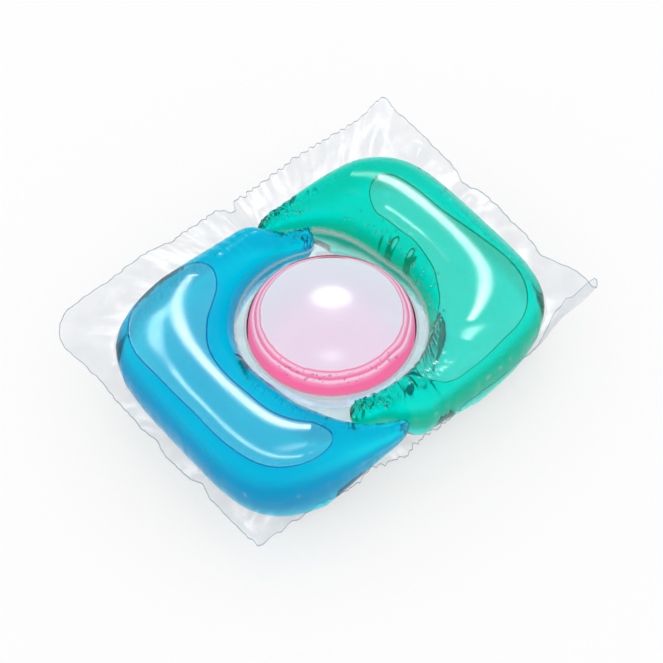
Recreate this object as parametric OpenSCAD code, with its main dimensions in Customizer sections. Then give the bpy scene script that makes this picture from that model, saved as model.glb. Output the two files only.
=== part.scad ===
// Three-chamber liquid laundry capsule: two webs of clear film sealed round three gels.
// The two comma pockets curl round a round one, and each comma's head tucks inside the other's tail.
// Angles in plan run round the middle of the round pocket, and z is 0 on the surface it rests on.

/* [Pockets] */
// Length over both comma pockets, at the seal
body_l = 50.6; // [48:0.2:54]
// Width over the comma pockets, at the seal
body_w = 37.2; // [36:0.2:39]
// Squareness of the outline's corners
body_square = 4.5; // [3.5:0.5:6]
// Radius of the round pocket, at the seal
round_r = 10.8; // [10:0.1:11]
// Width of the sealed web between the round pocket and the commas
web_w = 1.5; // [1:0.1:1.8]
// Depth of the formed pockets below the seal
pocket_depth = 8; // [6:0.5:10]
// Share of a pocket's width that is flat where it rests
flat_share = 0.3; // [0.2:0.05:0.5]
// Rise of the lid over the commas, above the seal
comma_rise = 6.2; // [5.6:0.2:7]
// Rise of the lid over the round pocket, above the seal
round_rise = 5.2; // [4:0.2:7]

/* [Film] */
// Thickness of each web of film
film_t = 0.08; // [0.06:0.01:0.15]
// Distance from the middle to the left edge of the film
film_left = 28; // [27.5:0.5:32]
// Distance from the middle to the right edge of the film
film_right = 29; // [27.5:0.5:32]
// Distance from the middle to the back edge of the film
film_back = 24.2; // [21:0.2:26]
// Distance from the middle to the front edge of the film
film_front = 20.4; // [20.2:0.2:26]
// Height of the ruffles along the film's edge
ruffle = 0.45; // [0:0.05:0.8]

/* [Fill] */
// Height of the air bubble's floor above the seal, in the commas
comma_fill = 5.2; // [4:0.1:5.4]
// Height of the air bubble's floor above the seal, in the round pocket
round_fill = 3.1; // [2.5:0.1:3.9]

/* [Hidden] */
clear_film = [0.9, 0.94, 0.96, 0.35];
// Side of the seal that a profile is on
above = 1;
below = -1;
// Where the blue comma's head starts, and how far each comma runs from head to tail
head_angle = 60;
comma_span = 203;
overlap = comma_span - 180;
// Outer radius of a comma's head, and inner radius of a comma's tail
head_r = 15.3;
tail_r = 16.9;
// Angles over which the head and the tail round off
head_round = 7.5;
tail_round = 8;
// Angles, from the head, between which the head's outer side and the tail's inner side swing out
head_swing = [14, 33];
tail_swing = [130, 200];
// Width of a comma at which its pocket reaches full depth, and its lid full rise, and how fast
// each falls off where the comma is narrower
deep_w = 9;
high_w = 11;
deep_power = 1;
high_power = 0.6;
// Stations across a pocket, from wall to wall and from middle to wall
across = [-3, -2, -1, 0, 1, 2, 3, 4];
outwards = [0, 1, 2, 3, 4];
// Turn of the profile from one station to the next: down a wall, over a comma, over the round pocket
wall_turn = 30;
comma_turn = 180 / 7;
round_turn = 22.5;
// Angles, from the head, between which the web's middle moves out to the next comma's head
web_swing = [140, 180];
// Shares of the flange's width at which the film has a station
flange_shares = [0.45, 1];
// Power of the curve that rounds the film's corners, and half the angle across a rounded corner
edge_square = 32;
corner_turn = 2;
// How far each corner of the film lifts or droops, and the angle that a lift spreads over
corner_lift = [-0.6, 1.2, 1.6, 0.8];
lift_spread = 34;
bubble_tilt = 2;
// Twice the area under which a triangle counts as closed up
least_area = 0.000001;

function smooth(x) = let (c = min(1, max(0, x))) c * c * (3 - 2 * c);
function ramp(p, swing) = smooth((p - swing[0]) / (swing[1] - swing[0]));
function mix(a, b, k) = a + (b - a) * k;
function steps(a, b, n) = [for (k = [1:n]) mix(a, b, k / n)];

// Radius along a ray of a rectangle with rounded corners, from its half sizes
function rounded_r(a, half_x, half_y, power) =
    pow(pow(abs(cos(a)) / half_x, power) + pow(abs(sin(a)) / half_y, power), -1 / power);

// A comma at p degrees from its head: rounding of its ends, inner side, outer side, middle and half width
function end_round(p) =
    p < head_round ? sqrt(1 - pow(1 - p / head_round, 2))
    : p > comma_span - tail_round ? sqrt(1 - pow(1 - (comma_span - p) / tail_round, 2))
    : 1;
function inner_r(p) = mix(round_r + web_w, tail_r, ramp(p, tail_swing));
function outer_r(p) =
    mix(head_r, rounded_r(head_angle + p, body_l / 2, body_w / 2, body_square), ramp(p, head_swing));
function mid_r(p) = (inner_r(p) + outer_r(p)) / 2;
function half_w(p) = end_round(p) * (outer_r(p) - inner_r(p)) / 2;
function comma_depth(p) = pocket_depth * pow(min(1, 2 * half_w(p) / deep_w), deep_power);
function comma_high(p) = comma_rise * pow(min(1, 2 * half_w(p) / high_w), high_power);

// Profiles across a pocket, as [share of the half width, share of the depth]: a flat floor with
// rounded walls below the seal, and a dome above it
function wall_profile(turn) = [flat_share + (1 - flat_share) * sin(turn), cos(turn)];
function comma_profile(side, k) =
    side == above ? [sin((k - 0.5) * comma_turn), cos((k - 0.5) * comma_turn)]
    : k < 1 ? [-wall_profile(-k * wall_turn)[0], wall_profile(-k * wall_turn)[1]]
    : wall_profile((k - 1) * wall_turn);
function round_profile(side, k) =
    side == above ? [sin(k * round_turn), cos(k * round_turn)]
    : k == 0 ? [0, 1]
    : wall_profile((k - 1) * wall_turn);

// Stations of one pocket as [radius, distance from the seal], grown outwards by a film's thickness
function comma_stations(p, side, grow) =
    let (
        w = half_w(p),
        grown_w = w + grow * min(1, w / (2 * film_t)),
        grown_d = grow + (side == above ? comma_high(p) : comma_depth(p) - film_t)
    )
    [for (k = across) let (s = comma_profile(side, k))
        [mid_r(p) + s[0] * grown_w, max(grow, s[1] * grown_d)]];
function round_stations(side, grow) =
    let (grown_d = grow + (side == above ? round_rise : pocket_depth - film_t))
    [for (k = outwards) let (s = round_profile(side, k))
        [s[0] * (round_r + grow), max(grow, s[1] * grown_d)]];
function in_space(a, side, stations) =
    [for (s = stations) [s[0] * cos(a), s[0] * sin(a), pocket_depth + side * s[1]]];

// The film's edge along a ray, and the lift of the flange there
function edge_r(a) =
    rounded_r(a, cos(a) < 0 ? film_left : film_right, sin(a) < 0 ? film_front : film_back, edge_square);
corners = [
    atan2(film_back, -film_left), 360 + atan2(-film_front, -film_left),
    360 + atan2(-film_front, film_right), 360 + atan2(film_back, film_right)
];
function apart(a, b) = abs((a - b + 540) % 360 - 180);
function corner_rise(a) =
    [for (corner = corners) smooth(1 - apart(a, corner) / lift_spread)] * corner_lift;
function flange_lift(a, share) =
    share * ruffle * (0.6 * sin(13 * a + 40) + 0.4 * sin(7 * a - 20)) + share * share * corner_rise(a);

// Rays of each half turn, counted from that comma's head: close at the tips, and two round each corner
function half_rays(h) =
    let (c = [for (k = [0, 1]) corners[2 * h + k] - head_angle - 180 * h])
    concat([0, 2, 4.5, 7.5, 12, 16.5, 20, 22, overlap, 28, 33],
        steps(33, c[0] - corner_turn, 6), [c[0] + corner_turn],
        steps(c[0] + corner_turn, c[1] - corner_turn, 8), [c[1] + corner_turn],
        steps(c[1] + corner_turn, 180, 3));

// Middle of the web between the round pocket and the comma, which at a half turn is the next head
function web_r(p) = p == 0 ? mid_r(0) : mix((round_r + inner_r(p)) / 2, mid_r(0), ramp(p, web_swing));

// One ray of a film from the middle to the edge. Past a tail's end, its stations close up to one point.
function film_ray(h, p, side, grow) =
    let (
        a = head_angle + 180 * h + p,
        head = comma_stations(p, side, grow),
        closed = head[len(head) - 1],
        tail = p <= overlap ? comma_stations(p + 180, side, grow) : [for (k = across) closed],
        wall_r = tail[len(tail) - 1][0]
    )
    concat(
        in_space(a, side, concat(round_stations(side, grow), [[web_r(p), grow]], head, tail)),
        [for (share = flange_shares) let (r = mix(wall_r, edge_r(a), share))
            [r * cos(a), r * sin(a), pocket_depth + side * grow + flange_lift(a, share)]]);
function film_grid(h, side, grow) = [for (p = half_rays(h)) film_ray(h, p, side, grow)];

// Rays of the gels, on the same stations as the film that holds them
function comma_rays(c) =
    concat(half_rays(c), [for (q = half_rays(1 - c)) if (q > 0 && q <= overlap) q + 180]);
function comma_grid(c, side) =
    [for (p = comma_rays(c)) in_space(head_angle + 180 * c + p, side, comma_stations(p, side, 0))];
function round_grid(side) =
    [for (h = [0, 1]) for (p = half_rays(h))
        in_space(head_angle + 180 * h + p, side, round_stations(side, 0))];

// Closed solid between pairs of grids, each a lower and an upper one. Rows run round the pack and
// stations run outwards. What has closed up to a line, as at a tip, makes no face.
function split(q) = [[q[0], q[1], q[2]], [q[0], q[2], q[3]]];
function has_area(t) = norm(cross(t[1] - t[0], t[2] - t[0])) > least_area;
function strip(low, high, i) =
    let (last = len(low[i]) - 1)
    concat(
        [for (j = [0:last - 1]) each [
            [low[i][j], low[i][j + 1], low[i + 1][j + 1], low[i + 1][j]],
            [high[i][j], high[i + 1][j], high[i + 1][j + 1], high[i][j + 1]]]],
        [[low[i][last], high[i][last], high[i + 1][last], low[i + 1][last]]]);
module between(pairs) {
    triangles = [
        for (pair = pairs) for (i = [0:len(pair[0]) - 2])
            for (q = strip(pair[0], pair[1], i)) for (t = split(q)) if (has_area(t)) t
    ];
    corner_numbers = [for (k = [0:len(triangles) - 1]) [3 * k, 3 * k + 1, 3 * k + 2]];
    polyhedron([for (t = triangles) each t], corner_numbers);
}

// Air above a gel's level
module bubble(level) {
    translate([0, 0, pocket_depth + level])
        rotate([bubble_tilt, 0, 0])
            translate([-body_l, -body_l, 0])
                cube([2 * body_l, 2 * body_l, 2 * comma_rise]);
}

module formed_film() {
    color(clear_film)
        between([for (h = [0, 1]) [film_grid(h, below, film_t), film_grid(h, below, 0)]]);
}

module lid_film() {
    color(clear_film)
        between([for (h = [0, 1]) [film_grid(h, above, 0), film_grid(h, above, film_t)]]);
}

module comma_gel(c) {
    difference() {
        between([[comma_grid(c, below), comma_grid(c, above)]]);
        bubble(comma_fill);
    }
}

module blue_gel() {
    color([0, 0.55, 0.78])
        comma_gel(0);
}

module green_gel() {
    color([0, 0.68, 0.52])
        comma_gel(1);
}

module pink_gel() {
    color([0.98, 0.45, 0.62])
        difference() {
            between([[round_grid(below), round_grid(above)]]);
            bubble(round_fill);
        }
}

formed_film();
lid_film();
blue_gel();
green_gel();
pink_gel();
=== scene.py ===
"""Three-chamber laundry capsule: two webs of clear film sealed round a blue, a green and a pink gel."""

import math

import bpy
import numpy as np
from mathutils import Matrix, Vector


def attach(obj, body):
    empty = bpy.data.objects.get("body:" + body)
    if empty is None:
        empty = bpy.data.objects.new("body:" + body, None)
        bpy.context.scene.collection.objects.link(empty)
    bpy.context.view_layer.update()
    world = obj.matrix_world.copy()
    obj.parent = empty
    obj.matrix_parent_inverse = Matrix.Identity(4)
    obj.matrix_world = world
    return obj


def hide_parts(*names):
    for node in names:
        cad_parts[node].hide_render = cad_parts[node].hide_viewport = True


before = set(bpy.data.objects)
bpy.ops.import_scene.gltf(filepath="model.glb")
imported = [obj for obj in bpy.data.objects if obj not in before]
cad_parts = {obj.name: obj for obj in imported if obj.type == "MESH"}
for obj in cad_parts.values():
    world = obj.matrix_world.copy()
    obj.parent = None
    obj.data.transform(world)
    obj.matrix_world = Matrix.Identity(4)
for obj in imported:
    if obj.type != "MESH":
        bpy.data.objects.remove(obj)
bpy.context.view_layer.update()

MM = 0.001

# Pockets, in millimetres and degrees. Plan angles run round the middle of the round pocket, and a
# place along a comma is given in degrees from its head.
BODY_L = 50.6
BODY_W = 37.2
BODY_SQUARE = 4.5
ROUND_R = 10.8
WEB_W = 1.5
SEAM_Z = 8.0
FLAT_SHARE = 0.3
COMMA_RISE = 6.2
ROUND_RISE = 5.2
HEAD_ANGLE = 60.0
COMMA_SPAN = 203.0
OVERLAP = COMMA_SPAN - 180.0
HEAD_R = 15.3
TAIL_R = 16.9
HEAD_ROUND = 7.5
TAIL_ROUND = 8.0
HEAD_SWING = (14.0, 33.0)
TAIL_SWING = (130.0, 200.0)
DEEP_W = 9.0
HIGH_W = 11.0
HIGH_POWER = 0.6
WEB_SWING = (140.0, 180.0)

# Film, in millimetres
FILM_T = 0.07
SEAM_GAP = 0.005
CUT_EDGE = 0.14
FILM_LEFT = 28.0
FILM_RIGHT = 29.0
FILM_BACK = 24.2
FILM_FRONT = 20.4
EDGE_SQUARE = 60.0
RUFFLE = 0.45
TOOTH = 1.33
CORNER_LIFT = (-0.6, 1.2, 1.6, 0.8)
LIFT_SPREAD = 34.0

# Front edge of the film on the green side, rolled up past a fold line, in millimetres and turns per mm
ROLL_FROM = (2.0, 8.0)
ROLL_CORNER = (16.0, 24.0)
ROLL_LINE = (-18.9, -16.6)
ROLL_BEND = (1.1, 0.65)

# Nicks and points of the film's edge: plan angle, depth in millimetres and half width in degrees
NICKS = [
    (40.2, -1.3, 2.4), (79.0, 0.5, 1.2), (85.5, 1.7, 2.4), (108.0, 0.5, 3.0), (139.3, 2.0, 3.4),
    (154.0, 0.8, 8.0), (179.5, 0.5, 2.0), (197.5, 0.6, 2.5), (243.0, 1.0, 2.0), (256.0, -0.7, 4.0),
    (342.0, 1.3, 5.0), (13.5, 0.9, 3.0),
]

# Deep folds of the flange: plan angle, height in millimetres, half width in degrees, share of the width
FOLDS = [(83.5, 0.9, 0.8, 1.1), (87.0, -0.5, 0.9, 1.0), (163.0, 0.8, 1.5, 0.75), (197.5, 0.7, 1.2, 0.9),
         (28.0, 0.7, 1.6, 0.8), (13.5, 0.6, 1.0, 1.0), (244.0, 0.9, 1.2, 1.1), (352.0, 0.5, 1.3, 0.9)]

# Foam in the gels: comma, span along it in degrees, span across in its half widths, bubbles, radii
FOAM = [
    (0, (4, 24), (-0.7, 0.7), 18, (0.10, 0.38)), (0, (60, 120), (-0.97, -0.85), 30, (0.05, 0.16)),
    (0, (118, 188), (-0.97, -0.74), 90, (0.05, 0.24)), (0, (180, 199), (-0.5, 0.7), 8, (0.06, 0.2)),
    (1, (4, 26), (-0.75, 0.75), 24, (0.10, 0.42)), (1, (24, 80), (-0.97, -0.78), 60, (0.05, 0.26)),
    (1, (80, 165), (-0.97, -0.66), 130, (0.05, 0.28)), (1, (84, 146), (0.78, 0.93), 60, (0.05, 0.16)),
    (1, (176, 200), (-0.7, 0.7), 26, (0.08, 0.42)),
]

# Foam in the round gel: span round it in degrees, radii from its middle, bubbles, their radii
ROUND_FOAM = ((185, 285), (9.1, 10.2), 90, (0.05, 0.2))

# Air bubbles. Each comma's is given by its span and rounded ends along the comma in degrees, and
# by its middle and half width as shares of the comma's half width, which change over a span.
BUBBLES = (
    {"span": (60, 171), "ends": (14, 10), "middle": (0.08, 0.22), "half": (0.70, 0.46), "change": (80, 120)},
    {"span": (37, 155), "ends": (13, 8), "middle": (-0.05, -0.24), "half": (0.82, 0.40), "change": (70, 130)},
)
BUBBLE_SAG = 1.3
ROUND_BUBBLE_R = 8.8
ROUND_SAG = 0.45
RING_FROM = 8.6
MENISCUS = 0.16
GEL_CLEAR = 0.03

# Span in degrees of the small pockets of air along the inner wall of each comma
INNER_POCKETS = ((95, 185), (14, 160))

# Mesh density. Rays stand closer together past an angle of each half, where the saw-toothed edge is.
HALF_RAYS = 300
OVERLAP_RAYS = 50
CLOSER_FROM = 152
CLOSER_SHARE = 0.70
ROUND_STATIONS = 12
WEB_STATIONS = 2
COMMA_STATIONS = 20
FLANGE_STATIONS = 18
GEL_STATIONS = 40
NEARLY_SQUARE = 89.91


def mix(a, b, k):
    return a + (b - a) * k


def smooth(x):
    c = np.clip(x, 0.0, 1.0)
    return c * c * (3 - 2 * c)


def ramp(p, swing):
    return smooth((p - swing[0]) / (swing[1] - swing[0]))


def rounded_r(a, half_x, half_y, power):
    """Radius along the rays at angles a of a rectangle with rounded corners."""
    x = np.abs(np.cos(np.radians(a))) / half_x
    y = np.abs(np.sin(np.radians(a))) / half_y
    return (x**power + y**power) ** (-1 / power)


# A comma at p degrees from its head
def end_round(p):
    head = np.clip(1 - p / HEAD_ROUND, 0, 1)
    tail = np.clip(1 - (COMMA_SPAN - p) / TAIL_ROUND, 0, 1)
    return np.sqrt(np.maximum(0, 1 - np.maximum(head, tail) ** 2))


def inner_r(p):
    return mix(ROUND_R + WEB_W, TAIL_R, ramp(p, TAIL_SWING))


def outer_r(p):
    body = rounded_r(HEAD_ANGLE + p, BODY_L / 2, BODY_W / 2, BODY_SQUARE)
    return mix(HEAD_R, body, ramp(p, HEAD_SWING))


def mid_r(p):
    return (inner_r(p) + outer_r(p)) / 2


def half_w(p):
    return end_round(p) * (outer_r(p) - inner_r(p)) / 2


def comma_depth(p):
    return SEAM_Z * np.minimum(1, 2 * half_w(p) / DEEP_W)


def comma_high(p):
    return COMMA_RISE * np.minimum(1, 2 * half_w(p) / HIGH_W) ** HIGH_POWER


def spread(n):
    """Stations from -1 to 1 across a comma, closer towards both walls."""
    turn = np.linspace(-NEARLY_SQUARE, NEARLY_SQUARE, n + 1)
    return np.sin(turn * math.pi / 180) / math.sin(math.radians(NEARLY_SQUARE))


def wall_profile(u):
    """Formed pocket: height share at a share u of the half width from its middle."""
    s = np.clip((np.abs(u) - FLAT_SHARE) / (1 - FLAT_SHARE), 0, 1)
    return np.sqrt(np.maximum(0, 1 - s * s))


def dome_profile(u):
    return np.sqrt(np.maximum(0, 1 - u * u))


def chance(n, seed):
    """n numbers from 0 to 1 that look random and are the same on each run."""
    k = np.arange(n)
    return (np.abs(np.sin((k + 1) * 12.9898 + seed * 78.233)) * 43758.5453) % 1


def waves(a, turns, seed):
    """A sum of sines along the rays, with phases of its own for each use."""
    phases = chance(len(turns), seed) * 2 * math.pi
    total = np.zeros_like(a)
    for n, phase in zip(turns, phases):
        total = total + np.sin(np.radians(a) * n + phase)
    return total / len(turns)


def wall_pleats(a, u):
    """Small folds of the shrunk film along the seam, which fade up and down the walls."""
    fold = 0.05 * waves(a, (37, 53, 79), 21) + 0.02 * waves(a, (127, 163), 22)
    return fold[:, None] * np.exp(-(1 - np.abs(u)) * 7)[None, :]


def crumple(c, p, u):
    """Share by which the lid of comma c rises or falls where its ends are crumpled."""
    phases = chance(6, 31 + c) * 2 * math.pi
    folds = ((0.8, 3.1), (1.3, -4.6), (1.9, 2.2), (2.6, -6.1), (3.3, 5.4), (1.1, 7.0))
    total = 0
    for k, (along, across) in enumerate(folds):
        bent = 1.4 * np.sin(0.31 * p[:, None] + across * 0.6 * u[None, :] + 2 * phases[k])
        ridge = 1 - 2 * np.abs(np.sin(along * p[:, None] / 2 + across * u[None, :] / 2 + phases[k] + bent))
        total = total + ridge / (1 + 0.25 * k)
    ends = 0.13 * smooth(1 - p / 29) + 0.085 * smooth(1 - (COMMA_SPAN - p) / 24)
    ripple = 0.016 * smooth((p - 16) / 8) * smooth((58 - p) / 12) * np.sin(p * 1.15 + 0.8 * np.sin(p * 0.31))
    return 1 + (ends * end_round(p))[:, None] * total + ripple[:, None] * dome_profile(u)[None, :]


def comma_section(c, p, u, above, grow):
    """Radius and distance from the seam of comma c at p degrees and stations u across, both arrays."""
    w = half_w(p)[:, None]
    grown_w = w + grow * np.minimum(1, w / (2 * FILM_T))
    a = HEAD_ANGLE + 180 * c + p
    r = mid_r(p)[:, None] + u[None, :] * grown_w + wall_pleats(a, u) * np.minimum(1, w / 2) * u[None, :]
    if above:
        d = dome_profile(u)[None, :] * (comma_high(p)[:, None] + grow) * crumple(c, p, u)
    else:
        d = wall_profile(u)[None, :] * (comma_depth(p)[:, None] - FILM_T - SEAM_GAP + grow)
    return r, np.maximum(grow, d)


def end_pockets(c, p, u):
    """Small pockets of air under the crumpled film at both ends of a comma and along its inner wall."""
    count = 9
    along, across, phase = (chance(count, seed + 10 * c) for seed in (51, 52, 53))
    lumps = 0
    for k in range(count):
        turn = (0.15 + 0.8 * along[k]) * p[:, None] + 13 * (across[k] - 0.5) * u[None, :]
        bent = 2.3 * np.sin(0.23 * (1 + along[k]) * p[:, None] + 4 * across[k] * u[None, :] + 9 * phase[k])
        lumps = lumps + np.sin(turn + bent + 6.28 * phase[k])
    near = smooth(1 - np.minimum(p / 27, (COMMA_SPAN - p) / 18))[:, None]
    inside = INNER_POCKETS[c]
    inner = smooth((p - inside[0]) / 12) * smooth((inside[1] - p) / 12)
    patches = smooth(0.5 + 1.1 * np.sin(p * 0.19 + 1) * np.sin(p * 0.083 + 2) + 0.4 * np.sin(p * 0.53))
    near = np.maximum(near, (inner * patches)[:, None] * smooth((-u - 0.62) / 0.2)[None, :])
    return 0.24 * lumps * near * dome_profile(u)[None, :] - 0.12 - 0.88 * (1 - near)


def bubble_depth(c, p, u):
    """Air under the lid of comma c in millimetres, below zero where the gel wets the lid."""
    bubble = BUBBLES[c]
    turn = ramp(p, bubble["change"])
    head = np.clip(1 - (p - bubble["span"][0]) / bubble["ends"][0], 0, 1)
    tail = np.clip(1 - (bubble["span"][1] - p) / bubble["ends"][1], 0, 1)
    rounded = np.sqrt(np.maximum(0, 1 - np.maximum(head, tail) ** 2))
    middle = mix(bubble["middle"][0], bubble["middle"][1], turn)
    half = mix(bubble["half"][0], bubble["half"][1], turn) * rounded
    half = half * (1 + 0.01 * np.sin(p * 0.33 + 1))
    safe = np.maximum(half, 0.03)
    low = dome_profile(np.clip(middle - safe, -1, 1))
    high = dome_profile(np.clip(middle + safe, -1, 1))
    v = (u[None, :] - middle[:, None]) / safe[:, None]
    chord = mix(low[:, None], high[:, None], (v + 1) / 2)
    depth = comma_high(p)[:, None] * (dome_profile(u)[None, :] - chord)
    depth = depth + (BUBBLE_SAG * rounded**2)[:, None] * (1 - v * v)
    depth = np.where(half[:, None] < 0.03, -1.0, depth)
    return np.maximum(depth, end_pockets(c, p, u))


def round_bubble_depth(rr):
    share = rr / ROUND_BUBBLE_R
    flat = dome_profile(ROUND_BUBBLE_R / ROUND_R)
    return ROUND_RISE * (dome_profile(np.minimum(1, rr / ROUND_R)) - flat) + ROUND_SAG * (1 - share**2)


def place(a, r, z):
    """Points in metres from plan angles a in degrees, a row each, radii r and heights z."""
    t = np.radians(a)[:, None]
    return np.stack([r * np.cos(t), r * np.sin(t), z], -1) * MM


def wrapped(name, blocks, marks):
    """A mesh piece from blocks of points, each laid on a primitive grid with a row for each ray.

    marks holds, for each block, the shares that the material reads, by name.
    """
    made = []
    for points, shares in zip(blocks, marks):
        rows, columns = points.shape[:2]
        bpy.ops.object.select_all(action="DESELECT")
        bpy.ops.mesh.primitive_grid_add(x_subdivisions=columns - 1, y_subdivisions=rows - 1, size=1)
        grid = bpy.context.object
        grid.data.vertices.foreach_set("co", points.reshape(-1).astype(np.float32))
        for label, values in shares.items():
            layer = grid.data.attributes.new(label, "FLOAT", "POINT")
            layer.data.foreach_set("value", values.reshape(-1).astype(np.float32))
        grid.data.update()
        made.append(grid)
    bpy.ops.object.select_all(action="DESELECT")
    for grid in made:
        grid.select_set(True)
    bpy.context.view_layer.objects.active = made[0]
    if len(made) > 1:
        bpy.ops.object.join()
    piece = bpy.context.object
    piece.name = name
    piece.data.name = name
    bpy.ops.object.mode_set(mode="EDIT")
    bpy.ops.mesh.select_all(action="SELECT")
    bpy.ops.mesh.remove_doubles(threshold=0.000002)
    bpy.ops.mesh.dissolve_degenerate(threshold=0.0000005)
    bpy.ops.mesh.normals_make_consistent(inside=False)
    bpy.ops.object.mode_set(mode="OBJECT")
    bpy.ops.object.shade_smooth()
    return piece


def edge_r(a):
    c = np.cos(np.radians(a))
    s = np.sin(np.radians(a))
    half_x = np.where(c < 0, FILM_LEFT, FILM_RIGHT)
    half_y = np.where(s < 0, FILM_FRONT, FILM_BACK)
    r = rounded_r(a, half_x, half_y, EDGE_SQUARE)
    for angle, depth, width in NICKS:
        apart = np.abs((a - angle + 540) % 360 - 180)
        r = r - depth * np.exp(-((apart / width) ** 2))
    return r


CORNERS = [
    math.degrees(math.atan2(FILM_BACK, -FILM_LEFT)),
    360 + math.degrees(math.atan2(-FILM_FRONT, -FILM_LEFT)),
    360 + math.degrees(math.atan2(-FILM_FRONT, FILM_RIGHT)),
    360 + math.degrees(math.atan2(FILM_BACK, FILM_RIGHT)),
]


def corner_rise(a):
    total = np.zeros_like(a)
    for corner, lift in zip(CORNERS, CORNER_LIFT):
        apart = np.abs((a - corner + 540) % 360 - 180)
        total = total + lift * smooth(1 - apart / LIFT_SPREAD)
    return total


def pleats(a, share):
    """Folds that run out from the chambers over part of the flange, each with its own size."""
    count = 58
    lean, high, wide, long = (chance(count, seed) for seed in (41, 42, 43, 44))
    total = np.zeros((len(a), len(share)))
    for k in range(count):
        middle = (k + 0.7 * lean[k]) * 360 / count
        reach = 0.35 + 0.6 * long[k]
        drift = (a[:, None] - middle - 2.5 * (lean[k] - 0.5) * share[None, :] + 540) % 360 - 180
        shape = np.exp(-((drift / (0.7 + 1.3 * wide[k])) ** 2))
        fade = np.sin(np.clip(share / reach, 0, 1) * math.pi) ** 0.8
        total = total + (0.06 + 0.3 * high[k] ** 2) * shape * fade[None, :]
    for middle, height, width, reach in FOLDS:
        shape = np.exp(-((((a - middle + 540) % 360 - 180) / width) ** 2))
        fade = np.sin(np.clip(share / reach, 0, 1) * math.pi) ** 0.6
        total = total + height * shape[:, None] * fade[None, :]
    return total


def flange_lift(a, share):
    """Height of the flange over the seam at plan angles a, a row each, and shares of its width."""
    ruffle = 0.6 * np.sin(np.radians(13 * a + 40)) + 0.4 * np.sin(np.radians(7 * a - 20))
    base = share[None, :] * RUFFLE * ruffle[:, None]
    base = base + (share**2)[None, :] * corner_rise(a)[:, None]
    hem = waves(a, (37, 53, 97), 11)
    return base + pleats(a, share) + 0.2 * (share**3)[None, :] * hem[:, None]


def zigzag(a, r):
    """Depth of the saw-toothed cut along the back edge, and of the crumpled front edge."""
    x = r * np.cos(np.radians(a))
    y = r * np.sin(np.radians(a))
    turn = x / TOOTH + 0.18 * np.sin(x * 1.1)
    saw = np.minimum(turn % 1 / 0.75, (1 - turn % 1) / 0.25)
    teeth = 0.5 * (y > FILM_BACK - 1.5) * (0.35 + 0.65 * smooth((x + 4) / 8)) * saw
    scallops = 0.75 * smooth((-16 - y) / 2) * np.abs(waves(a, (29, 47, 83), 15))
    return teeth + scallops + 0.1 * waves(a, (67, 101, 149), 13)


def rolled(x, y, z):
    """Film past the fold line rolled up and over."""
    corner = smooth((x - ROLL_CORNER[0]) / (ROLL_CORNER[1] - ROLL_CORNER[0]))
    line = mix(ROLL_LINE[0], ROLL_LINE[1], corner)
    started = smooth((x - ROLL_FROM[0]) / (ROLL_FROM[1] - ROLL_FROM[0]))
    bend = np.maximum(mix(ROLL_BEND[0], ROLL_BEND[1], corner) * started, 0.001)
    past = np.maximum(0, line - y)
    return x, np.where(past > 0, line - np.sin(bend * past) / bend, y), z + (1 - np.cos(bend * past)) / bend


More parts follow.
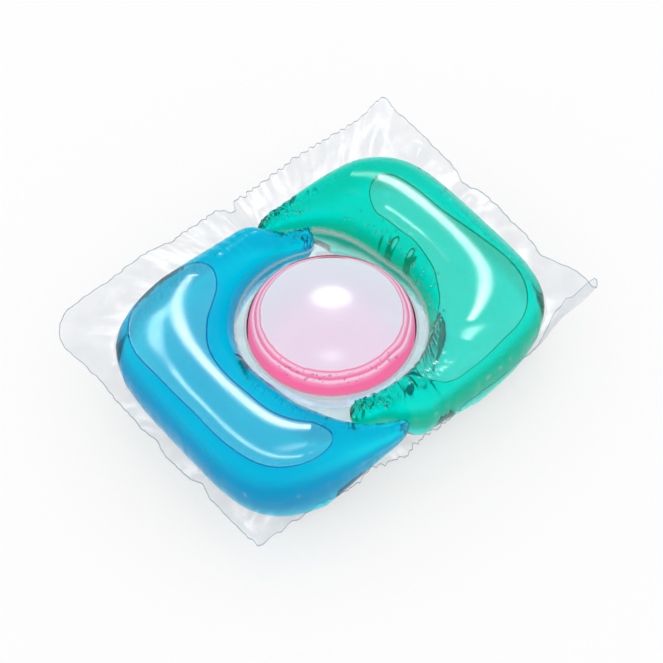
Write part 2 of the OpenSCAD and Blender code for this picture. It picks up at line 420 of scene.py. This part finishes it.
def film_block(h, above, grow):
    """Points of half a web of film, from the middle of the round pocket to the edge."""
    even = np.linspace(0, 1, HALF_RAYS - OVERLAP_RAYS)[1:]
    past_overlap = np.interp(even, (0, CLOSER_SHARE, 1), (OVERLAP, CLOSER_FROM, 180))
    p = np.concatenate([np.linspace(0, OVERLAP, OVERLAP_RAYS + 1), past_overlap])
    a = HEAD_ANGLE + 180 * h + p
    n = len(p)
    ones = np.ones(n)[:, None]
    u = np.sin(np.radians(np.linspace(0, 90, ROUND_STATIONS + 1)))
    if above:
        rise = dome_profile(u) * (ROUND_RISE + grow)
    else:
        rise = wall_profile(u) * (SEAM_Z - FILM_T - SEAM_GAP + grow)
    rr = [(u * (ROUND_R + grow))[None, :] * ones]
    dd = [np.maximum(grow, rise)[None, :] * ones]
    web = mix((ROUND_R + inner_r(p)) / 2, mid_r(np.zeros(n)), ramp(p, WEB_SWING))
    web[0] = mid_r(np.zeros(1))[0]
    across = spread(COMMA_STATIONS)
    head_rr, head_dd = comma_section(h, p, across, above, grow)
    tail_p = np.where(p <= OVERLAP, p + 180, COMMA_SPAN)
    tail_rr, tail_dd = comma_section(1 - h, tail_p, across, above, grow)
    past = p > OVERLAP
    tail_rr[past] = head_rr[past, -1:]
    tail_dd[past] = head_dd[past, -1:]
    shares = np.linspace(0, 1, WEB_STATIONS + 1)[None, 1:]

    def span(start, end):
        return mix(start[:, None], end[:, None], shares)

    flat = np.full((n, WEB_STATIONS), grow)
    rr += [span(rr[0][:, -1], web), span(web, head_rr[:, 0]), head_rr[:, 1:]]
    dd += [flat, flat, head_dd[:, 1:]]
    rr += [span(head_rr[:, -1], tail_rr[:, 0]), tail_rr[:, 1:]]
    dd += [flat, tail_dd[:, 1:]]
    r = np.concatenate(rr, 1)
    side = 1 if above else -1
    points = place(a, r, SEAM_Z + side * np.concatenate(dd, 1))
    wall = r[:, -1:]
    edge = edge_r(a)
    edge = (edge - zigzag(a, edge))[:, None]
    out = np.append(np.linspace(0, 1, FLANGE_STATIONS)[1:], 1.0)
    flange_r = mix(wall, edge - CUT_EDGE, out[None, :])
    flange_r[:, -1:] = edge
    flange = place(a, flange_r, SEAM_Z + side * grow + flange_lift(a, out))
    flange = np.stack(rolled(*(flange[..., k] / MM for k in range(3))), -1) * MM

    air = [air_share(round_bubble_depth(u * ROUND_R))[None, :] * ones, ones * np.ones(2 * WEB_STATIONS)]
    air += [air_share(bubble_depth(h, p, across))[:, 1:], ones * np.ones(WEB_STATIONS)]
    air += [air_share(bubble_depth(1 - h, tail_p, across))[:, 1:], ones * np.ones(len(out))]
    air = np.concatenate(air, 1)
    if not above:
        air[:, :-len(out)] = 0
    sealed = np.zeros_like(air)
    sealed[:, -len(out):] = smooth(out * 12)
    web_from = ROUND_STATIONS + 1
    sealed[:, web_from:web_from + 2 * WEB_STATIONS - 1] = 0.6
    web_share = np.zeros_like(air)
    web_share[:, web_from:web_from + 2 * WEB_STATIONS - 1] = 1
    # Painted highlight: rows along both rims of the web, and a fainter one where the flange starts, which the
    # film paints milky white
    painted_gleam_rim = np.zeros_like(air)
    if above:
        painted_gleam_rim[:, [web_from - 1, web_from + 2 * WEB_STATIONS - 1]] = 1
        painted_gleam_rim[:, -len(out) - 1] = 0.35
    cut = np.zeros_like(air)
    cut[:, -1] = 1
    return np.concatenate([points, flange], 1), {"air": air, "sealed": sealed, "web": web_share,
                                                     "painted_gleam_rim": painted_gleam_rim, "cut": cut}


def solidified(piece, thickness, offset):
    bpy.ops.object.select_all(action="DESELECT")
    piece.select_set(True)
    bpy.context.view_layer.objects.active = piece
    shell = piece.modifiers.new("film_thickness", "SOLIDIFY")
    shell.thickness = thickness
    shell.offset = offset
    bpy.ops.object.modifier_apply(modifier=shell.name)
    return piece


def faces_up(piece):
    """Turn an open sheet so that its faces look up."""
    total = sum(f.normal.z * f.area for f in piece.data.polygons)
    if total < 0:
        bpy.ops.object.select_all(action="DESELECT")
        piece.select_set(True)
        bpy.context.view_layer.objects.active = piece
        bpy.ops.object.mode_set(mode="EDIT")
        bpy.ops.mesh.select_all(action="SELECT")
        bpy.ops.mesh.flip_normals()
        bpy.ops.object.mode_set(mode="OBJECT")


def film(name, above):
    blocks, marks = zip(*(film_block(h, above, SEAM_GAP) for h in (0, 1)))
    piece = wrapped(name, blocks, marks)
    faces_up(piece)
    return solidified(piece, FILM_T * MM, 1 if above else -1)


def air_share(depth):
    return smooth(depth / 0.2 + 0.5)


def air_gap(depth):
    """Air left over a gel, with a soft meniscus where it meets the lid."""
    soft = (depth + MENISCUS) ** 2 / (4 * MENISCUS)
    return np.where(depth < -MENISCUS, 0, np.where(depth > MENISCUS, depth, soft))


def depth_share(depth):
    """Air over the gel as a share for its material: a half where the gel just wets the lid."""
    return np.clip(depth + 0.5, 0, 1)


def comma_gel(name, c):
    p = np.concatenate([np.linspace(0, 27, 121), np.linspace(27, COMMA_SPAN - 22, 420)[1:],
                        np.linspace(COMMA_SPAN - 22, COMMA_SPAN, 91)[1:]])
    a = HEAD_ANGLE + 180 * c + p
    u = spread(GEL_STATIONS)
    back = spread(2 * GEL_STATIONS)[::-1]
    low_r, low_d = comma_section(c, p, u, False, -GEL_CLEAR)
    top_r, top_d = comma_section(c, p, back, True, -GEL_CLEAR)
    depth = bubble_depth(c, p, back)
    low_d = np.maximum(low_d, 0)
    top_d = np.maximum(np.maximum(top_d, 0) - air_gap(depth), 0)
    r = np.concatenate([low_r, top_r[:, 1:]], 1)
    z = np.concatenate([SEAM_Z - low_d, SEAM_Z + top_d[:, 1:]], 1)
    none = np.zeros_like(low_r)
    across = np.concatenate([np.abs(u), np.abs(back[1:])])
    # Share near both walls and at the head, where the gel's material paints shade
    seam = np.maximum(smooth((across - 0.82) / 0.18)[None, :], smooth(1 - p / 5)[:, None])
    marks = {"depth": np.concatenate([none, depth_share(depth)[:, 1:]], 1), "seam": seam}
    return wrapped(name, [place(a, r, z)], [marks])


def round_gel(name):
    a = np.linspace(0, 360, 361)
    u = np.sin(np.radians(np.linspace(0, 90, 61)))
    low = wall_profile(u) * (SEAM_Z - FILM_T - SEAM_GAP - GEL_CLEAR)
    depth = round_bubble_depth(u[::-1] * ROUND_R)
    top = np.maximum(dome_profile(u[::-1]) * (ROUND_RISE - GEL_CLEAR) - air_gap(depth), 0)
    r = np.concatenate([u, u[::-1][1:]]) * (ROUND_R - GEL_CLEAR)
    z = np.concatenate([SEAM_Z - low, SEAM_Z + top[1:]])
    tall = np.ones((361, 1))
    wall = smooth((u - 0.6) / 0.4)
    ring_top = np.clip((u[::-1] * ROUND_R - RING_FROM) / (ROUND_R - RING_FROM), 0, 1)
    marks = {"depth": tall * np.concatenate([low * 0, depth_share(depth)[1:]]),
             "ring": tall * np.concatenate([low * 0, ring_top[1:]]),
             "wall": tall * np.concatenate([wall, low[1:] * 0])}
    return wrapped(name, [place(a, np.tile(r, (361, 1)), np.tile(z, (361, 1)))], [marks])


# How much light bends, which is less into a gel under its film than into one that stands free, and
# less than 1 into a bubble of air in a gel
GEL_IOR = 1.15
ROUND_GEL_IOR = 1.035
BUBBLE_IOR = 0.87

# Share of clear gel, and of gloss under a bubble, in the commas
COMMA_CLEAR = 0.86
COMMA_COAT = 0.7

# Colours, as light that each lets through
FILM_CLEAR = (0.992, 0.994, 0.996)
FILM_SEALED = (0.982, 0.985, 0.989)
FILM_SEALED_DULL = (0.965, 0.97, 0.976)
# Painted reflection: the clear web between the pockets tinted bluish, standing in for the neighbouring gels
# seen bent through it
FILM_WEB_PAINTED_REFLECTION = (0.87, 0.94, 0.96)
# Painted shade: the grey line along the cut edge of the film, where it is seen edge-on
FILM_CUT_PAINTED_SHADE = (0.70, 0.75, 0.78)
BLUE = (0.0, 0.82, 0.96)
BLUE_SWIRL = (0.0, 0.88, 0.98)
# Painted shade: the darker blue of the steep walls near the seam and at the head
BLUE_PAINTED_WALL_SHADE = (0.0, 0.24, 0.52)
# Painted shade: the dark blue line round the edge of the air bubble, where the meniscus bends the light away
BLUE_PAINTED_SHADE_LINE = (0.0, 0.10, 0.34)
# Painted reflection and highlight: pale blue standing in for the white sheen under the air bubble and for the
# bright line along its edge
BLUE_PAINTED_SHEEN = (0.36, 0.95, 1.0)
GREEN = (0.0, 0.96, 0.86)
GREEN_SWIRL = (0.0, 0.99, 0.92)
# Painted shade: the darker green of the steep walls near the seam and at the head
GREEN_PAINTED_WALL_SHADE = (0.0, 0.34, 0.13)
# Painted shade: the dark green line round the edge of the air bubble, where the meniscus bends the light away
GREEN_PAINTED_SHADE_LINE = (0.0, 0.17, 0.07)
# Painted reflection and highlight: pale green standing in for the white sheen under the air bubble and for
# the bright line along its edge
GREEN_PAINTED_SHEEN = (0.36, 0.98, 0.93)
LILAC = (0.90, 0.84, 0.91)
# Painted reflection: cool grey on the lower wall of the round gel, seen through the far side of its dome
COOL_PAINTED_REFLECTION = (0.66, 0.80, 0.84)
PINK = (1.0, 0.13, 0.30)
# Painted highlight and painted shade: pale lines and deep red arcs drawn across the pink ring
PINK_PAINTED_HIGHLIGHT = (1.0, 0.62, 0.76)
PINK_PAINTED_SHADE = (1.0, 0.04, 0.16)
FOAM_WHITE = (0.9, 0.98, 1.0)
FOAM_BLUE = (0.6, 0.93, 1.0)
FOAM_GREEN = (0.6, 1.0, 0.93)
FOAM_PINK = (1.0, 0.75, 0.86)

# What is left of the light through each gel, and how dense it is per metre
BLUE_ABSORB = ((0.0, 0.79, 0.93), 200)
GREEN_ABSORB = ((0.0, 0.90, 0.825), 180)
PINK_ABSORB = ((0.9, 0.7, 0.88), 50)


# Film: share that each face mirrors where it is wet, more over air and less where it is sealed, the same
# looked along, its roughness, the share of milky white where it is sealed, and the share of white along the
# rims of the pockets, which is a painted highlight
MIRROR_WET = 0.006
MIRROR_AIR = 0.026
MIRROR_SEALED = 0.023
GRAZING_WET = 0.015
GRAZING_AIR = 0.12
FILM_ROUGH = 0.16
FILM_ROUGH_CLOUDS = 0.03
FILM_ROUGH_SEALED = 0.12
MIST_SEALED = 0.004
PAINTED_GLEAM_RIM = 0.4
CRINKLE = 0.12


# Materials
def new_material(name):
    m = bpy.data.materials.new(name)
    m.use_nodes = True
    m.node_tree.nodes.clear()
    return m, m.node_tree


def add(tree, kind, **values):
    n = tree.nodes.new(kind)
    for key, value in values.items():
        setattr(n, key, value)
    return n


def link(tree, output, entry):
    tree.links.new(output, entry)


def share_of(tree, label):
    """The piece's own share by name, made with its shape."""
    n = add(tree, "ShaderNodeAttribute", attribute_type="GEOMETRY", attribute_name=label)
    return n.outputs["Fac"]


def sums(tree, operation, first, second):
    n = add(tree, "ShaderNodeMath", operation=operation)
    for entry, value in zip(n.inputs, (first, second)):
        if isinstance(value, (int, float)):
            entry.default_value = value
        else:
            link(tree, value, entry)
    return n.outputs[0]


def blended(tree, share, first, second):
    """A colour between two, each a tuple or a socket."""
    n = add(tree, "ShaderNodeMix", data_type="RGBA")
    link(tree, share, n.inputs["Factor"])
    for entry, value in ((n.inputs["A"], first), (n.inputs["B"], second)):
        if isinstance(value, tuple):
            entry.default_value = (*value, 1)
        else:
            link(tree, value, entry)
    return n.outputs["Result"]


def mottle(tree, scale, detail, low, high):
    """Soft noise in the piece's own coordinates, spread over 0 to 1 between two of its levels."""
    where = add(tree, "ShaderNodeTexCoord")
    n = add(tree, "ShaderNodeTexNoise")
    n.inputs["Scale"].default_value = scale
    n.inputs["Detail"].default_value = detail
    link(tree, where.outputs["Object"], n.inputs["Vector"])
    span = add(tree, "ShaderNodeMapRange")
    span.inputs["From Min"].default_value = low
    span.inputs["From Max"].default_value = high
    link(tree, n.outputs["Fac"], span.inputs["Value"])
    return span.outputs[0]


def clear_film(name):
    m, tree = new_material(name)
    out = add(tree, "ShaderNodeOutputMaterial")
    air, sealed, cut = (share_of(tree, label) for label in ("air", "sealed", "cut"))
    cloudy = mottle(tree, 260, 3, 0.35, 0.65)
    seal_tint = blended(tree, cloudy, FILM_SEALED, FILM_SEALED_DULL)
    tint = blended(tree, sealed, FILM_CLEAR, seal_tint)
    # Painted reflection: the web is tinted bluish
    tint = blended(tree, share_of(tree, "web"), tint, FILM_WEB_PAINTED_REFLECTION)
    through = add(tree, "ShaderNodeBsdfTransparent")
    # Painted shade: the last row at the cut edge lets through less light
    link(tree, blended(tree, cut, tint, FILM_CUT_PAINTED_SHADE), through.inputs["Color"])

    crinkle = add(tree, "ShaderNodeBump")
    crinkle.inputs["Distance"].default_value = CRINKLE * MM
    link(tree, sums(tree, "MULTIPLY", sealed, 0.6), crinkle.inputs["Strength"])
    link(tree, mottle(tree, 420, 4, 0.3, 0.7), crinkle.inputs["Height"])
    shine = add(tree, "ShaderNodeBsdfGlossy")
    shine.inputs["Color"].default_value = (1, 1, 1, 1)
    dull = sums(tree, "MULTIPLY", cloudy, FILM_ROUGH_CLOUDS)
    dull = sums(tree, "ADD", dull, sums(tree, "MULTIPLY", sealed, FILM_ROUGH_SEALED))
    link(tree, sums(tree, "ADD", dull, FILM_ROUGH), shine.inputs["Roughness"])
    link(tree, crinkle.outputs[0], shine.inputs["Normal"])
    facing = add(tree, "ShaderNodeLayerWeight")
    facing.inputs["Blend"].default_value = 0.5
    grazing = sums(tree, "POWER", facing.outputs["Facing"], 5.0)
    mirror = sums(tree, "ADD", sums(tree, "MULTIPLY", air, MIRROR_AIR), MIRROR_WET)
    mirror = sums(tree, "SUBTRACT", mirror, sums(tree, "MULTIPLY", sealed, MIRROR_SEALED))
    grazing_most = sums(tree, "ADD", sums(tree, "MULTIPLY", air, GRAZING_AIR), GRAZING_WET)
    mirror = sums(tree, "ADD", mirror, sums(tree, "MULTIPLY", grazing, grazing_most))
    glazed = add(tree, "ShaderNodeMixShader")
    link(tree, mirror, glazed.inputs[0])
    link(tree, through.outputs[0], glazed.inputs[1])
    link(tree, shine.outputs[0], glazed.inputs[2])

    # Milky white: a real haze where the film is sealed, and a painted highlight along the rims of the pockets
    haze_and_painted_gleam = add(tree, "ShaderNodeBsdfDiffuse")
    haze_and_painted_gleam.inputs["Color"].default_value = (0.9, 0.92, 0.93, 1)
    link(tree, crinkle.outputs[0], haze_and_painted_gleam.inputs["Normal"])
    misted = add(tree, "ShaderNodeMixShader")
    painted_gleam = sums(tree, "MULTIPLY", share_of(tree, "painted_gleam_rim"), PAINTED_GLEAM_RIM)
    haze_and_gleam_share = sums(tree, "ADD", sums(tree, "MULTIPLY", sealed, MIST_SEALED), painted_gleam)
    link(tree, haze_and_gleam_share, misted.inputs[0])
    link(tree, glazed.outputs[0], misted.inputs[1])
    link(tree, haze_and_painted_gleam.outputs[0], misted.inputs[2])
    link(tree, misted.outputs[0], out.inputs["Surface"])
    return m


def ramp_of(tree, share, stops):
    """A colour ramp over a share from stops of place and colour."""
    n = add(tree, "ShaderNodeValToRGB")
    elements = n.color_ramp.elements
    for k, (position, colour) in enumerate(stops):
        stop = elements[k] if k < 2 else elements.new(position)
        stop.position = position
        stop.color = (*colour, 1)
    link(tree, share, n.inputs[0])
    return n.outputs[0]


def gel_shader(m, tree, colour, clear, bend, coat, absorb_colour, density):
    out = add(tree, "ShaderNodeOutputMaterial")
    p = add(tree, "ShaderNodeBsdfPrincipled")
    link(tree, colour, p.inputs["Base Color"])
    p.inputs["Roughness"].default_value = 0.03
    p.inputs["IOR"].default_value = bend
    p.inputs["Specular IOR Level"].default_value = 0.1
    p.inputs["Specular Tint"].default_value = (*absorb_colour, 1)
    p.inputs["Transmission Weight"].default_value = clear
    p.inputs["Coat Roughness"].default_value = 0.2
    free = add(tree, "ShaderNodeMapRange")
    free.inputs["From Min"].default_value = 0.5
    free.inputs["From Max"].default_value = 0.75
    free.inputs["To Max"].default_value = coat
    link(tree, share_of(tree, "depth"), free.inputs["Value"])
    link(tree, free.outputs[0], p.inputs["Coat Weight"])
    absorb = add(tree, "ShaderNodeVolumeAbsorption")
    absorb.inputs["Color"].default_value = (*absorb_colour, 1)
    absorb.inputs["Density"].default_value = density
    link(tree, p.outputs[0], out.inputs["Surface"])
    link(tree, absorb.outputs[0], out.inputs["Volume"])
    return m


def comma_gel_material(name, body, swirl, painted_wall_shade, painted_shade_line, painted_sheen, absorb_colour, density):
    m, tree = new_material(name)
    colour = blended(tree, mottle(tree, 90, 2, 0.4, 0.62), body, swirl)
    white, black = (1, 1, 1), (0, 0, 0)
    depth = share_of(tree, "depth")
    # Painted reflection: under an air bubble the gel is mixed towards the pale colour, more where the air is
    # deeper
    inside = ramp_of(tree, depth, ((0.5, black), (0.7, (0.35, 0.35, 0.35)), (1.0, (0.65, 0.65, 0.65))))
    # Painted shade: a dark line where the gel just meets the lid, round the edge of the air bubble
    line = ramp_of(tree, depth, ((0.30, black), (0.64, black), (0.42, white), (0.54, white)))
    # Painted highlight: a pale line just inside the edge of the air bubble
    painted_gleam_line = ramp_of(tree, depth, ((0.62, black), (0.98, black), (0.72, white), (0.84, white)))
    colour = blended(tree, inside, colour, painted_sheen)
    # Painted shade: the gel is darkened towards its walls and head
    colour = blended(tree, sums(tree, "MULTIPLY", share_of(tree, "seam"), 0.8), colour, painted_wall_shade)
    colour = blended(tree, line, colour, painted_shade_line)
    colour = blended(tree, sums(tree, "MULTIPLY", painted_gleam_line, 0.7), colour, painted_sheen)
    return gel_shader(m, tree, colour, COMMA_CLEAR, GEL_IOR, COMMA_COAT, absorb_colour, density)


def round_gel_material(name, absorb_colour, density):
    m, tree = new_material(name)
    wander = sums(tree, "MULTIPLY", mottle(tree, 160, 3, 0.3, 0.7), 0.16)
    spot = sums(tree, "ADD", share_of(tree, "ring"), sums(tree, "SUBTRACT", wander, 0.08))
    # The ring where the gel wets the lid is striped with painted highlights in pale pink and painted shade in
    # deep red
    ring = ramp_of(tree, spot, (
        (0.0, LILAC), (1.0, PINK_PAINTED_SHADE), (0.12, LILAC), (0.18, PINK_PAINTED_SHADE), (0.30, PINK_PAINTED_HIGHLIGHT), (0.40, PINK),
        (0.50, PINK_PAINTED_SHADE), (0.58, PINK_PAINTED_HIGHLIGHT), (0.70, PINK), (0.84, PINK_PAINTED_SHADE)))
    # Painted reflection: the lower wall is mixed towards cool grey
    ring = blended(tree, share_of(tree, "wall"), ring, COOL_PAINTED_REFLECTION)
    return gel_shader(m, tree, ring, 1.0, ROUND_GEL_IOR, 0.0, absorb_colour, density)


def foam_material(name, tint):
    m, tree = new_material(name)
    out = add(tree, "ShaderNodeOutputMaterial")
    p = add(tree, "ShaderNodeBsdfPrincipled")
    link(tree, blended(tree, mottle(tree, 900, 1, 0.4, 0.6), tint, FOAM_WHITE), p.inputs["Base Color"])
    p.inputs["Roughness"].default_value = 0.03
    p.inputs["IOR"].default_value = BUBBLE_IOR
    p.inputs["Transmission Weight"].default_value = 0.9
    link(tree, p.outputs[0], out.inputs["Surface"])
    return m


def foam(name, places):
    """Tiny air bubbles, one ball copied to each place with its radius, all joined."""
    bpy.ops.object.select_all(action="DESELECT")
    bpy.ops.mesh.primitive_uv_sphere_add(segments=8, ring_count=6, radius=MM)
    ball = bpy.context.object
    bpy.ops.object.shade_smooth()
    shape = np.empty(len(ball.data.vertices) * 3, np.float32)
    ball.data.vertices.foreach_get("co", shape)
    copies = []
    for x, y, z, radius in places:
        copy = bpy.data.objects.new(name, ball.data.copy())
        bpy.context.scene.collection.objects.link(copy)
        moved = shape.reshape(-1, 3) * radius + np.array([x, y, z]) * MM
        copy.data.vertices.foreach_set("co", moved.reshape(-1).astype(np.float32))
        copies.append(copy)
    bpy.data.objects.remove(ball)
    bpy.ops.object.select_all(action="DESELECT")
    for copy in copies:
        copy.select_set(True)
    bpy.context.view_layer.objects.active = copies[0]
    bpy.ops.object.join()
    piece = bpy.context.object
    piece.name = name
    piece.data.name = name
    return piece


def comma_foam(name, comma):
    """Places just under the top of a comma's gel."""
    places = []
    for k, (c, span, across, count, radii) in enumerate(FOAM):
        if c != comma:
            continue
        p = mix(span[0], span[1], chance(count, 60 + k))
        u = mix(across[0], across[1], chance(count, 70 + k))
        radius = mix(radii[0], radii[1], chance(count, 80 + k) ** 2.5)
        r, top = (part.diagonal() for part in comma_section(c, p, u, True, -GEL_CLEAR))
        top = top - air_gap(bubble_depth(c, p, u).diagonal())
        angle = np.radians(HEAD_ANGLE + 180 * c + p)
        z = SEAM_Z + top - 1.25 * radius
        places += list(zip(r * np.cos(angle), r * np.sin(angle), z, radius))
    return foam(name, places)


def round_foam(name):
    span, across, count, radii = ROUND_FOAM
    angle = np.radians(mix(span[0], span[1], chance(count, 91)))
    r = mix(across[0], across[1], chance(count, 92))
    radius = mix(radii[0], radii[1], chance(count, 93) ** 2.5)
    z = SEAM_Z + ROUND_RISE * dome_profile(r / ROUND_R) - 1.3 * radius - 0.1
    return foam(name, list(zip(r * np.cos(angle), r * np.sin(angle), z, radius)))


def finish(piece, material, node=None):
    piece.data.materials.clear()
    piece.data.materials.append(material)
    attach(piece, "root")
    if node:
        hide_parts(node)


lid = film("lid_web", True)
tray = film("formed_web", False)
blue = comma_gel("blue_liquid", 0)
green = comma_gel("green_liquid", 1)
pink = round_gel("pink_liquid")

blue_bubbles = comma_foam("blue_foam", 0)
green_bubbles = comma_foam("green_foam", 1)
pink_bubbles = round_foam("pink_foam")

web_finish = clear_film("clear_film")
blue_finish = comma_gel_material("blue_gel_clear", BLUE, BLUE_SWIRL, BLUE_PAINTED_WALL_SHADE, BLUE_PAINTED_SHADE_LINE, BLUE_PAINTED_SHEEN,
                                 *BLUE_ABSORB)
green_finish = comma_gel_material("green_gel_clear", GREEN, GREEN_SWIRL, GREEN_PAINTED_WALL_SHADE, GREEN_PAINTED_SHADE_LINE, GREEN_PAINTED_SHEEN,
                                  *GREEN_ABSORB)
finish(lid, web_finish, "lid_film")
finish(tray, web_finish.copy(), "formed_film")
finish(blue, blue_finish, "blue_gel")
finish(green, green_finish, "green_gel")
finish(pink, round_gel_material("pink_gel_clear", *PINK_ABSORB), "pink_gel")
finish(blue_bubbles, foam_material("blue_foam", FOAM_BLUE))
finish(green_bubbles, foam_material("green_foam", FOAM_GREEN))
finish(pink_bubbles, foam_material("pink_foam", FOAM_PINK))


# Studio: share of plain white that the floor shows to the camera and in gloss, and through the gels,
# how bright that white is, the floor's gloss, and the sky's colour, plain and in gloss
FLOOR_WHITE_SEEN = 0.6
FLOOR_WHITE_THROUGH = 0.98
FLOOR_WHITE = 1.18
FLOOR_ROUGH = 0.06
FLOOR_GLOSS = 0.09
STUDIO_WHITE = (0.93, 0.93, 0.93)
SKY_LOW = (0.4, 0.4, 0.4)
SKY_HIGH = (0.12, 0.125, 0.14)

# Lamps: azimuth, elevation, distance, width and height in metres, watts
BACK_SOFTBOX = (140.5, 49, 0.8, 0.42, 0.34, 7.2)
TOP_SOFTBOX = (-39.5, 77, 0.8, 0.46, 0.36, 1.3)

# Camera
CAMERA_AZIMUTH = -39.5
CAMERA_ELEVATION = 54.0
CAMERA_DISTANCE = 0.35
CAMERA_LENS = 150
LOOK_AT = Vector((0, 0, 0.007))


def way_to(azimuth, elevation):
    """Direction from the pack, azimuth counted from -Y towards +X and elevation from the floor."""
    a = math.radians(azimuth)
    e = math.radians(elevation)
    return Vector((math.sin(a) * math.cos(e), -math.cos(a) * math.cos(e), math.sin(e)))


# The floor keeps a soft shadow and a faint mirror image
def white_floor():
    bpy.ops.object.select_all(action="DESELECT")
    bpy.ops.mesh.primitive_plane_add(size=4, location=(0, 0, 0))
    floor = bpy.context.object
    floor.name = "floor"
    m, tree = new_material("white_gloss_floor")
    out = add(tree, "ShaderNodeOutputMaterial")
    path = add(tree, "ShaderNodeLightPath")
    seen = sums(tree, "MAXIMUM", path.outputs["Is Camera Ray"], path.outputs["Is Glossy Ray"])
    through = sums(tree, "MULTIPLY", path.outputs["Is Transmission Ray"], FLOOR_WHITE_THROUGH)
    share = sums(tree, "MAXIMUM", sums(tree, "MULTIPLY", seen, FLOOR_WHITE_SEEN), through)
    lit = add(tree, "ShaderNodeBsdfDiffuse")
    lit.inputs["Color"].default_value = (*STUDIO_WHITE, 1)
    white = add(tree, "ShaderNodeEmission")
    white.inputs["Color"].default_value = (1, 1, 1, 1)
    white.inputs["Strength"].default_value = FLOOR_WHITE
    base = add(tree, "ShaderNodeMixShader")
    link(tree, share, base.inputs[0])
    link(tree, lit.outputs[0], base.inputs[1])
    link(tree, white.outputs[0], base.inputs[2])
    gloss = add(tree, "ShaderNodeBsdfGlossy")
    gloss.inputs["Color"].default_value = (1, 1, 1, 1)
    gloss.inputs["Roughness"].default_value = FLOOR_ROUGH
    top = add(tree, "ShaderNodeMixShader")
    top.inputs[0].default_value = FLOOR_GLOSS
    link(tree, base.outputs[0], top.inputs[1])
    link(tree, gloss.outputs[0], top.inputs[2])
    link(tree, top.outputs[0], out.inputs["Surface"])
    floor.data.materials.append(m)
    return floor


def sky():
    world = bpy.data.worlds.new("studio")
    bpy.context.scene.world = world
    world.use_nodes = True
    tree = world.node_tree
    tree.nodes.clear()
    out = add(tree, "ShaderNodeOutputWorld")
    back = add(tree, "ShaderNodeBackground")
    coords = add(tree, "ShaderNodeTexCoord")
    split = add(tree, "ShaderNodeSeparateXYZ")
    shade = add(tree, "ShaderNodeValToRGB")
    shade.color_ramp.elements[0].position = 0.0
    shade.color_ramp.elements[0].color = (*SKY_LOW, 1)
    shade.color_ramp.elements[1].position = 1.0
    shade.color_ramp.elements[1].color = (*SKY_HIGH, 1)
    link(tree, coords.outputs["Generated"], split.inputs[0])
    link(tree, split.outputs["Z"], shade.inputs[0])
    link(tree, shade.outputs[0], back.inputs["Color"])
    even = add(tree, "ShaderNodeBackground")
    even.inputs["Color"].default_value = (*STUDIO_WHITE, 1)
    path = add(tree, "ShaderNodeLightPath")
    which = add(tree, "ShaderNodeMixShader")
    link(tree, path.outputs["Is Glossy Ray"], which.inputs[0])
    link(tree, even.outputs[0], which.inputs[1])
    link(tree, back.outputs[0], which.inputs[2])
    link(tree, which.outputs[0], out.inputs["Surface"])


def softbox(name, azimuth, elevation, distance, width, height, watts):
    """An area lamp that looks at the pack, azimuth counted as the camera's, bright in its middle."""
    way = way_to(azimuth, elevation)
    lamp = bpy.data.lights.new(name, "AREA")
    lamp.shape = "RECTANGLE"
    lamp.size = width
    lamp.size_y = height
    lamp.energy = watts
    lamp.use_nodes = True
    tree = lamp.node_tree
    glow = tree.nodes["Emission"]
    spot = add(tree, "ShaderNodeNewGeometry")
    middle = add(tree, "ShaderNodeVectorMath", operation="SUBTRACT")
    middle.inputs[1].default_value = (0.5, 0.5, 0)
    link(tree, spot.outputs["Parametric"], middle.inputs[0])
    far = add(tree, "ShaderNodeVectorMath", operation="LENGTH")
    link(tree, middle.outputs[0], far.inputs[0])
    fall = add(tree, "ShaderNodeMapRange", interpolation_type="SMOOTHERSTEP")
    fall.inputs["From Min"].default_value = 0.5
    fall.inputs["From Max"].default_value = 0.05
    link(tree, far.outputs["Value"], fall.inputs["Value"])
    link(tree, fall.outputs[0], glow.inputs["Strength"])
    o = bpy.data.objects.new(name, lamp)
    o.location = LOOK_AT + way * distance
    o.rotation_euler = way.to_track_quat("Z", "Y").to_euler()
    bpy.context.scene.collection.objects.link(o)
    return o


def keep_off(lamp, thing):
    """Let a lamp light all but one thing, so that a glossy floor doesn't mirror it."""
    lit = bpy.data.collections.new(lamp.name + "_lights")
    lit.objects.link(thing)
    lit.collection_objects[0].light_linking.link_state = "EXCLUDE"
    lamp.light_linking.receiver_collection = lit


def camera():
    way = way_to(CAMERA_AZIMUTH, CAMERA_ELEVATION)
    cam = bpy.data.cameras.new("camera")
    cam.lens = CAMERA_LENS
    cam.sensor_width = 36
    cam.clip_start = 0.01
    cam.clip_end = 10
    o = bpy.data.objects.new("camera", cam)
    o.location = LOOK_AT + way * CAMERA_DISTANCE
    o.rotation_euler = way.to_track_quat("Z", "Y").to_euler()
    bpy.context.scene.collection.objects.link(o)
    bpy.context.scene.camera = o


floor = white_floor()
sky()
back_light = softbox("back_softbox", *BACK_SOFTBOX)
softbox("top_softbox", *TOP_SOFTBOX)
keep_off(back_light, floor)
back_light.visible_transmission = False
camera()
scene = bpy.context.scene
scene.view_settings.view_transform = "Standard"
scene.cycles.transparent_max_bounces = 16
scene.cycles.transmission_bounces = 10
scene.cycles.glossy_bounces = 4
scene.cycles.diffuse_bounces = 2
scene.cycles.max_bounces = 12
scene.cycles.caustics_refractive = False

bpy.context.view_layer.update()
